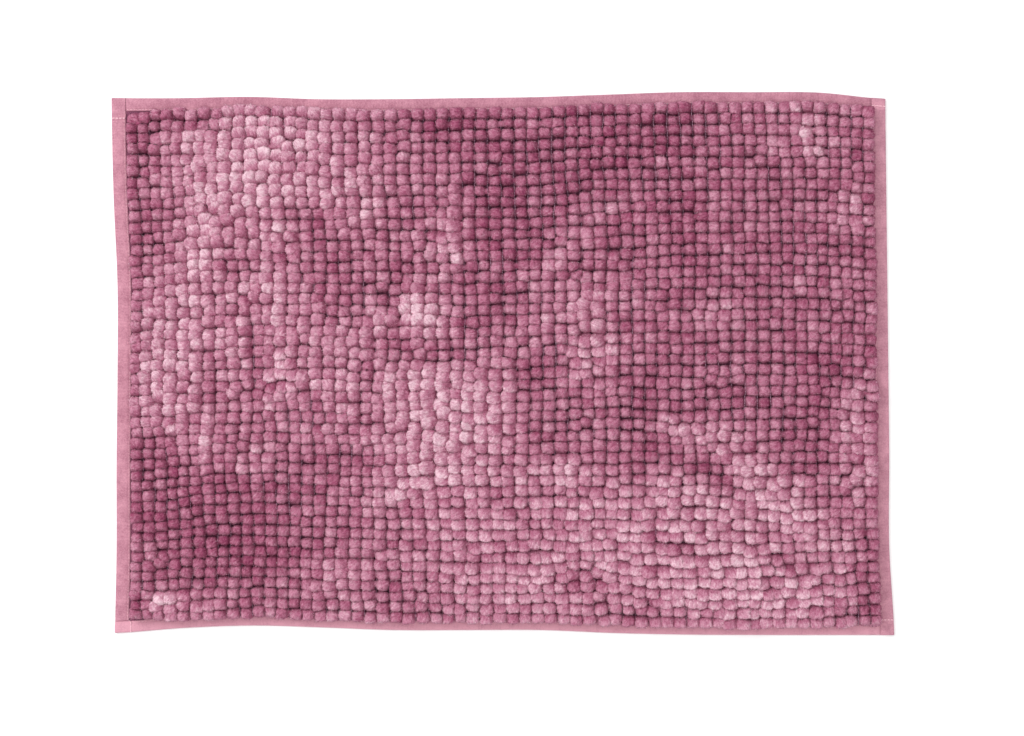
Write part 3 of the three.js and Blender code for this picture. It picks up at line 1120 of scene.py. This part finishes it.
    def loose_fibres(self, row: int) -> Part:
        """Short fibres that stand out of the bobbles, each a thin three-sided spike.

        Args:
            row: the row's number.

        Returns:
            The spikes.
        """
        rng = np.random.default_rng(SEED + 1 + row)
        shape = (COLUMNS, self.fibres)
        turn = rng.uniform(0, math.tau, shape)
        rise = np.arcsin(rng.uniform(-0.1, 1, shape))
        root = self.surface(row, turn, rise)
        out = np.stack([np.cos(turn) * np.cos(rise), np.sin(turn) * np.cos(rise), np.sin(rise)], -1)
        out = out + rng.normal(0, 0.45, out.shape)
        out /= np.linalg.norm(out, axis=-1, keepdims=True)
        length = rng.uniform(0.7, 1.6, shape)[..., None] * MM
        side = np.cross(out, rng.normal(0, 1, out.shape))
        side /= np.linalg.norm(side, axis=-1, keepdims=True)
        other = np.cross(out, side)
        base = root - out * 0.3 * MM
        corners = [side, other * 0.87 - side * 0.5, -(other * 0.87 + side * 0.5)]
        points = np.stack([*(base + corner * self.fibre for corner in corners), root + out * length], 2)
        spike = np.array([[0, 1, 3], [1, 2, 3], [2, 0, 3], [0, 2, 1]])
        total = COLUMNS * self.fibres
        triangles = (spike[None] + 4 * np.arange(total)[:, None, None]).reshape(-1, 3)
        own = np.repeat(np.arange(COLUMNS), self.fibres * 4).reshape(COLUMNS, self.fibres, 4)
        shade = self.shade_of(row, points, own)
        # Painted highlights: each fibre's tip is painted lighter, and one fibre in 25 much lighter.
        shade = shade + rng.normal(0.05, 0.17, shape)[..., None] + np.array([0, 0, 0, 0.12])
        shade = shade + 0.5 * (rng.random(shape) < 0.04)[..., None]
        combed = self.combed_place(row, points, own).reshape(-1, 3)
        return points.reshape(-1, 3), np.zeros((0, 4), int), triangles, shade.ravel(), combed

    def build(self, finish: bpy.types.Material) -> None:
        """Builds every row and dresses it."""
        for row in range(ROWS):
            made = self.build_row(row)
            made.data.materials.append(finish)
            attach(made, "root")
            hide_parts(f"pile_row_{row + 1:02d}")
        LOG.info("%d chenille rows of %d bobbles", ROWS, COLUMNS)


# ------------------------------------------------------------------------------
# The ground: base cloth, its locking threads and the rubber coat
# ------------------------------------------------------------------------------


@dataclass
class Ground:
    """What lies under the pile: the knitted base cloth, its locking threads and the rubber coat."""

    lay: MatLay
    noise: FibreNoise
    pile: BobblePile
    cloth_half_x: float = 298.0 * MM
    cloth_half_y: float = 205.5 * MM
    cloth_low: float = 0.62 * MM
    cloth_high: float = 1.75 * MM
    coat_half_x: float = 288.3 * MM
    coat_half_y: float = 197.6 * MM
    coat_low: float = 0.25 * MM
    coat_high: float = 0.58 * MM
    dot_pitch: float = 8.0 * MM
    # The radius and the height of each ring of a dot's corners, in millimetres.
    dot_rings: tuple[tuple[float, float], ...] = ((2.0, 0.3), (2.0, 0.1), (1.5, 0.0))
    thread: float = 0.21 * MM  # half of a locking thread's height
    thread_z: float = 7.4 * MM  # the height that most of them lie at

    def slab(self, half_x: float, half_y: float, cell: float) -> tuple[Array, Array, Array, int, int]:
        """A flat grid over the mat.

        Args:
            half_x: half of its length on the straight mat.
            half_y: half of its width.
            cell: the size of its cells.

        Returns:
            Its x, its y, its quads and its two counts of cells.
        """
        nx, ny = round(2 * half_x / cell), round(2 * half_y / cell)
        u, v = np.meshgrid(np.linspace(-half_x, half_x, nx + 1), np.linspace(-half_y, half_y, ny + 1))
        x, y = self.lay.place(u, v)
        i, j = np.meshgrid(np.arange(nx), np.arange(ny))
        start = (j * (nx + 1) + i).ravel()
        quads = np.stack([start, start + 1, start + nx + 2, start + nx + 1], -1)
        return x, y, quads, nx, ny

    @staticmethod
    def close(quads: Array, nx: int, ny: int) -> Array:
        """Closes a grid and its copy below it into one solid.

        Args:
            quads: the grid's quads.
            nx: its count of cells along the length.
            ny: the same along the width.

        Returns:
            All the solid's quads.
        """
        size = (nx + 1) * (ny + 1)
        rim = [(i, 0) for i in range(nx)] + [(nx, j) for j in range(ny)]
        rim += [(i, ny) for i in range(nx, 0, -1)] + [(0, j) for j in range(ny, 0, -1)]
        edge = np.array([j * (nx + 1) + i for i, j in rim])
        walls = np.stack([edge + size, np.roll(edge, -1) + size, np.roll(edge, -1), edge], -1)
        return np.concatenate([quads, quads[:, ::-1] + size, walls])

    def base_cloth(self, finish: bpy.types.Material) -> None:
        """Builds the knitted cloth, a little uneven on top."""
        x, y, quads, nx, ny = self.slab(self.cloth_half_x, self.cloth_half_y, 2.4 * MM)
        flat = np.stack([x, y, np.zeros_like(x)], -1)
        ripple = 0.05 * MM * self.noise.at(flat, 7 * MM, 8.1) - 0.05 * MM
        high = np.stack([x, y, self.cloth_high + ripple], -1).reshape(-1, 3)
        low = np.stack([x, y, np.full_like(x, self.cloth_low)], -1).reshape(-1, 3)
        made = make_mesh("knitted_base_cloth", np.concatenate([high, low]), self.close(quads, nx, ny))
        made.data.materials.append(finish)
        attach(made, "root")
        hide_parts("base_cloth")
        LOG.info("knitted base cloth")

    def rubber_coat(self, finish: bpy.types.Material) -> None:
        """Builds the rubber coat: a thin skin with small round dots that grip the floor."""
        x, y, quads, nx, ny = self.slab(self.coat_half_x, self.coat_half_y, 12 * MM)
        high = np.stack([x, y, np.full_like(x, self.coat_high)], -1).reshape(-1, 3)
        low = np.stack([x, y, np.full_like(x, self.coat_low)], -1).reshape(-1, 3)
        skin = np.concatenate([high, low])
        sides = 8
        around = -np.arange(sides) / sides * math.tau
        rings = np.array(self.dot_rings) * MM
        radius, level = rings[:, :1], rings[:, 1:]
        dot = np.stack(np.broadcast_arrays(radius * np.cos(around), radius * np.sin(around), level), -1)
        dot = dot.reshape(-1, 3)
        walls, caps = tube_faces(len(rings), sides)
        u = np.arange(-self.coat_half_x + 4 * MM, self.coat_half_x - 3 * MM, self.dot_pitch)
        v = np.arange(-self.coat_half_y + 4 * MM, self.coat_half_y - 3 * MM, self.dot_pitch * 0.866)
        grid_u, grid_v = np.meshgrid(u, v)
        grid_u = grid_u + np.where(np.arange(len(v)) % 2, self.dot_pitch / 2, 0)[:, None]
        keep = np.abs(grid_u) < self.coat_half_x - 2.5 * MM
        dot_x, dot_y = self.lay.place(grid_u[keep], grid_v[keep])
        centres = np.stack([dot_x, dot_y, np.zeros_like(dot_x)], -1)
        dots = (centres[:, None] + dot[None]).reshape(-1, 3)
        start = len(skin) + np.arange(len(centres))[:, None, None] * len(dot)
        faces = np.concatenate([self.close(quads, nx, ny), (walls + start).reshape(-1, 4)])
        made = make_mesh("latex_coat", np.concatenate([skin, dots]), faces, (caps + start).reshape(-1, 3))
        made.data.materials.append(finish)
        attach(made, "root")
        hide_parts("rubber_coat")
        LOG.info("rubber coat with %d dots", len(centres))

    def locking_threads(self, finish: bpy.types.Material) -> None:
        """Builds the chains that run from front to back and hold each yarn down, deeper where it is light."""
        sides, steps = 5, 4
        feet = self.pile.foot
        between = (feet[:, 1:-2] + feet[:, 2:-1]) / 2
        rows = between.shape[0]
        place = np.linspace(0.55, rows - 1.55, (rows - 2) * steps + 1)
        around = np.arange(sides) / sides * math.tau
        points, quads, triangles, count = [], [], [], 0
        for column in range(between.shape[1]):
            x = np.interp(place, np.arange(rows), between[:, column, 0])
            y = np.interp(place, np.arange(rows), between[:, column, 1])
            feet_now = np.stack([x, y, np.zeros_like(x)], -1)
            z = self.thread_z + 0.5 * MM * np.cos(place * math.tau)
            z = z + 5.5 * MM * np.clip(self.noise.at(feet_now, 21 * MM, 6.2) - 0.15, 0, 0.7)
            z = z - 4 * MM * np.clip(brushed_shade(self.noise, feet_now), -0.1, 0.5)
            x = x + 0.6 * MM * self.noise.at(feet_now, 3.3 * MM, 2.9)
            wide = x[:, None] + 1.3 * self.thread * np.cos(around)
            high = z[:, None] + self.thread * np.sin(around)
            rings = np.stack(np.broadcast_arrays(wide, y[:, None], high), -1)
            wall, cap = tube_faces(len(place), sides)
            points.append(rings.reshape(-1, 3))
            quads.append(wall[:, ::-1] + count)
            triangles.append(cap[:, ::-1] + count)
            count += len(place) * sides
        arrays = (np.concatenate(part) for part in (points, quads, triangles))
        made = make_mesh("locking_threads", *arrays)
        made.data.materials.append(finish)
        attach(made, "root")
        LOG.info("%d locking threads", between.shape[1])


# ------------------------------------------------------------------------------
# The binding
# ------------------------------------------------------------------------------


@dataclass
class Binding:
    """One edge's binding: a tape folded over the mat's edge and the seam that holds it."""

    side: Side
    lay: MatLay
    noise: FibreNoise
    half: float  # half of the tape's run
    outer: float  # from the mat's middle to the fold
    width: float
    crossing: float  # the width of the tapes at its ends
    # How light this side's tape is painted: its own colour, with painted light and shade that differs from
    # side to side.
    tone: float
    tucked: tuple[bool, bool] = (False, False)  # whether an end lies in the other tape's fold
    # How far in the seam bends where it runs on over a corner. None: it stops at the corner.
    crossed: tuple[float | None, float | None] = (None, None)
    ply: float = 0.5 * MM  # the tape's thickness
    height: float = 2.4 * MM  # of the folded tape's top
    low: float = 0.1 * MM  # the height of its underside
    seam_inset: float = 1.2 * MM  # from the tape's inner edge to the seam
    stitch: float = 3.0 * MM
    thread: float = 0.16 * MM  # the seam thread's radius

    def stations(self) -> Array:
        """The places along the run where the section is drawn. A tucked end stops inside the other's fold."""
        tip = self.half - self.height / 2 - 0.3 * MM
        start = -tip if self.tucked[0] else -self.half
        end = tip if self.tucked[1] else self.half
        return np.linspace(start, end, round((end - start) / (0.75 * MM)) + 1)

    def section(self) -> tuple[Array, Array, Array]:
        """The folded section.

        Returns:
            Distances from the middle outwards, heights, and how much each point is part of the upper ply.
        """
        inner, outer = self.outer - self.width, self.outer
        top, low, ply = self.height, self.low, self.ply
        fold = (top - low) / 2
        bow = np.radians(np.linspace(-80, 80, 9))
        flat = np.linspace(inner, outer - fold, 13)

        def bend(radius: float, angles: Array) -> list[tuple[float, float, float]]:
            """The points round the fold, at one radius."""
            x, z = outer - fold, low + fold
            return [(x + radius * math.cos(a), z + radius * math.sin(a), max(0, a)) for a in angles]

        outside = [(x, low, 0.0) for x in flat] + bend(fold, bow) + [(x, top, 1.0) for x in flat[::-1]]
        inside = [(x, top - ply, 1.0) for x in flat] + bend(fold - ply, bow[::-1])
        inside += [(x, low + ply, 0.0) for x in flat[::-1]]
        points = np.array(outside + inside)
        return points[:, 0], points[:, 1], np.clip(points[:, 2], 0, 1)

    def tape(self, finish: bpy.types.Material) -> None:
        """Builds the folded tape, puckered a little along its seam."""
        run = self.stations()
        across, height, upper = self.section()
        grid_run, grid_across = np.meshgrid(run, across, indexing="ij")
        x, y = self.lay.turned(grid_run, grid_across, self.side)
        seam = self.outer - self.width + self.seam_inset
        flat = np.stack([x, y, np.zeros_like(x)], -1)
        inward = np.clip((self.outer - grid_across) / self.width, 0, 1)
        crown = 0.35 * MM * np.sin(math.pi * inward**0.8) * (0.8 + 0.5 * self.noise.at(flat, 14 * MM, 3.3))
        groove = np.exp(-(((grid_across - seam) / (0.8 * MM)) ** 2))
        pucker = 0.5 + 0.5 * np.cos(grid_run / self.stitch * math.tau)
        lift = crown + 0.1 * MM * self.noise.at(flat, 4 * MM, 7.7) - groove * (0.28 + 0.14 * pucker) * MM
        z = height[None] + lift * upper[None]
        for is_tucked, end in zip(self.tucked, (-1, 1), strict=True):
            if is_tucked:
                press = np.clip((end * grid_run - self.half + self.crossing) / (1.2 * MM) + 1, 0, 1)
                middle = self.height / 2
                z = z + 0.7 * press * (middle - z)
        points = np.stack([x, y, z], -1).reshape(-1, 3)
        quads, _ = tube_faces(len(run), len(across))
        half = len(across) // 2
        i = np.arange(half - 1)
        cap = np.stack([i, i + 1, 2 * half - 2 - i, 2 * half - 1 - i], -1)
        quads = np.concatenate([quads[:, ::-1], cap, cap[:, ::-1] + (len(run) - 1) * len(across)])
        tones = {"tone": np.full(len(points), self.tone), "along": grid_run.ravel()}
        name = f"binding_tape_{self.side.name.lower()}"
        made = make_mesh(f"folded_{name}", points, quads, tones=tones)
        made.data.materials.append(finish)
        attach(made, "root")
        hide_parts(name)
        LOG.info("%s", made.name)

    def stitch_run(self) -> tuple[float, float]:
        """Where the seam starts and ends along the run: before each corner, or just beyond it if crossed."""
        far, near = self.half + 0.1 * MM, self.half - self.crossing
        return -(near if self.crossed[0] is None else far), near if self.crossed[1] is None else far

    def seam(self, finish: bpy.types.Material) -> None:
        """Builds the seam's stitches: a raised arc from hole to hole, and the same below."""
        start, end = self.stitch_run()
        count = round((end - start) / self.stitch)
        holes = np.linspace(start, end, count + 1)
        sides, rings = 6, 7
        share = np.linspace(0.04, 0.96, rings)
        around = np.arange(sides) / sides * math.tau
        run = holes[:-1, None] + (holes[1] - holes[0]) * share[None]
        line = np.full(run.shape, self.outer - self.width + self.seam_inset)
        over = np.zeros(run.shape)
        for way, bend in zip((-1, 1), self.crossed, strict=True):
            beyond = np.clip((way * run - self.half + self.crossing) / (1.5 * MM) + 0.7, 0, 1)
            line = line - (bend or 0.0) * beyond
            over = over + beyond * (bend is not None)
        line, over = line[..., None], over[..., None]
        points, quads, triangles, total = [], [], [], 0
        wall, cap = tube_faces(rings, sides)
        for is_top in (True, False):
            arc = np.sin(math.pi * share) ** 0.6
            level = self.height - 0.3 * MM + 0.26 * MM * arc if is_top else 0.36 * MM - 0.16 * MM * arc
            thick = (self.thread * (0.55 + 0.45 * arc))[None, :, None] * (1 + 1.8 * over * is_top)
            across = line + thick * np.cos(around)
            z = level[None, :, None] + 0.5 * MM * over * is_top + thick * np.sin(around)
            z = np.maximum(z, 0)
            grid_run = np.repeat(run[..., None], sides, 2)
            x, y = self.lay.turned(grid_run, across + 0 * grid_run, self.side)
            arcs = np.stack([x, y, z], -1).reshape(-1, 3)
            shift = total + np.arange(len(run))[:, None, None] * rings * sides
            quads.append((wall[:, ::-1] + shift).reshape(-1, 4))
            triangles.append((cap[:, ::-1] + shift).reshape(-1, 3))
            points.append(arcs)
            total += len(arcs)
        name = f"seam_thread_{self.side.name.lower()}"
        arrays = (np.concatenate(part) for part in (points, quads, triangles))
        seam = make_mesh(f"stitched_{name}", *arrays)
        seam.data.materials.append(finish)
        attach(seam, "root")
        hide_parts(name)
        LOG.info("%s with %d stitches", seam.name, count)


# ------------------------------------------------------------------------------
# The studio
# ------------------------------------------------------------------------------


@dataclass
class Studio:
    """A pale floor, soft lights and a camera that looks straight down."""

    lens: float = 85.0
    sensor: float = 36.0
    view_width: float = 792 * MM
    look_at: tuple[float, float] = (7.0 * MM, -3.5 * MM)

    def camera(self) -> None:
        """Adds the camera, far enough above the mat to take in the view's width."""
        data = bpy.data.cameras.new("camera")
        data.lens = self.lens
        data.sensor_width = self.sensor
        data.clip_start = 0.05
        data.clip_end = 50
        made = bpy.data.objects.new("camera", data)
        distance = self.view_width * self.lens / self.sensor
        made.location = (*self.look_at, distance)
        bpy.context.scene.collection.objects.link(made)
        bpy.context.scene.camera = made

    def light(self, name: str, place: tuple[float, float, float], size: float, power: float) -> None:
        """Adds one square area light that points at the mat.

        Args:
            name: the light's name.
            place: where it hangs.
            size: the length of its sides.
            power: in watts.
        """
        data = bpy.data.lights.new(name, "AREA")
        data.shape = "SQUARE"
        data.size = size
        data.energy = power
        made = bpy.data.objects.new(name, data)
        made.location = place
        made.rotation_mode = "QUATERNION"
        made.rotation_quaternion = (-Vector(place)).to_track_quat("-Z", "Y")
        made.visible_camera = False
        bpy.context.scene.collection.objects.link(made)

    def floor(self) -> None:
        """Adds the plain pale floor."""
        half = 4.0
        corners = np.array([(-half, -half, 0), (half, -half, 0), (half, half, 0), (-half, half, 0)])
        made = make_mesh("studio_floor", corners - [0, 0, 0.2 * MM], [[0, 1, 2, 3]], smooth=False)
        paper = bpy.data.materials.new("matt_white_paper")
        paper.use_nodes = True
        shader = paper.node_tree.nodes["Principled BSDF"]
        shader.inputs["Base Color"].default_value = to_linear("#f7f7f7")
        shader.inputs["Roughness"].default_value = 0.9
        made.data.materials.append(paper)

    def build(self) -> None:
        """Sets up the whole studio."""
        self.camera()
        self.floor()
        self.light("key_light", (-1.9, 1.1, 1.9), 1.4, 52)
        self.light("fill_light", (0.3, -0.2, 2.8), 2.0, 37)
        world = bpy.data.worlds.new("studio_air")
        world.use_nodes = True
        background = world.node_tree.nodes["Background"]
        background.inputs["Color"].default_value = to_linear("#ffffff")
        background.inputs["Strength"].default_value = 0.63
        bpy.context.scene.world = world
        bpy.context.scene.view_settings.view_transform = "Standard"
        LOG.info("studio")


@dataclass
class BathMat:
    """The whole mat: pile, ground and binding on one lay."""

    lay: MatLay = field(default_factory=MatLay)
    noise: FibreNoise = field(default_factory=lambda: FibreNoise(SEED))
    long_tape: float = 9.5 * MM  # the width that shows of the tapes at the back and the front
    side_tape: float = 11.3 * MM

    def bindings(self) -> list[Binding]:
        """The four bindings, with the way they overlap at the corners."""
        half_length, half_width = self.lay.length / 2, self.lay.width / 2
        wide, narrow = self.side_tape, self.long_tape
        long = {"half": half_length, "outer": half_width, "width": narrow, "crossing": wide}
        short = {"half": half_width, "outer": half_length, "width": wide, "crossing": narrow}
        both = (self.lay, self.noise)
        bends = (6.4 * MM, -2.3 * MM)
        # Each side's tone is its painted light and shade.
        back = Binding(Side.BACK, *both, **long, tone=0.38, tucked=(True, True), crossed=bends)
        left = Binding(Side.LEFT, *both, **short, tone=0.49, tucked=(True, False), crossed=(2.7 * MM, None))
        front = Binding(Side.FRONT, *both, **long, tone=0.98, tucked=(True, False), crossed=(3.5 * MM, None))
        right = Binding(Side.RIGHT, *both, **short, tone=0.65)
        return [back, left, front, right]

    def build(self) -> None:
        """Builds and dresses every piece."""
        pile = BobblePile(self.lay, self.noise)
        pile.build(ChenillePile().build())
        ground = Ground(self.lay, self.noise, pile)
        ground.rubber_coat(LatexCoat().build())
        ground.base_cloth(KnitCloth().build())
        filament = PlyThread("polyester_filament", ((0.0, "#683f54"), (1.0, "#aa8296")))
        ground.locking_threads(filament.build())
        tape = WovenTape().build()
        thread = PlyThread("spun_polyester_thread", ((0.0, "#dba3b2"), (1.0, "#f4c9d3"))).build()
        for binding in self.bindings():
            binding.tape(tape)
            binding.seam(thread)


def main() -> None:
    """Loads the frame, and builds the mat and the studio."""
    logging.basicConfig(level=logging.INFO, format="%(message)s")
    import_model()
    Studio().build()
    BathMat().build()


if __name__ == "__main__":
    main()
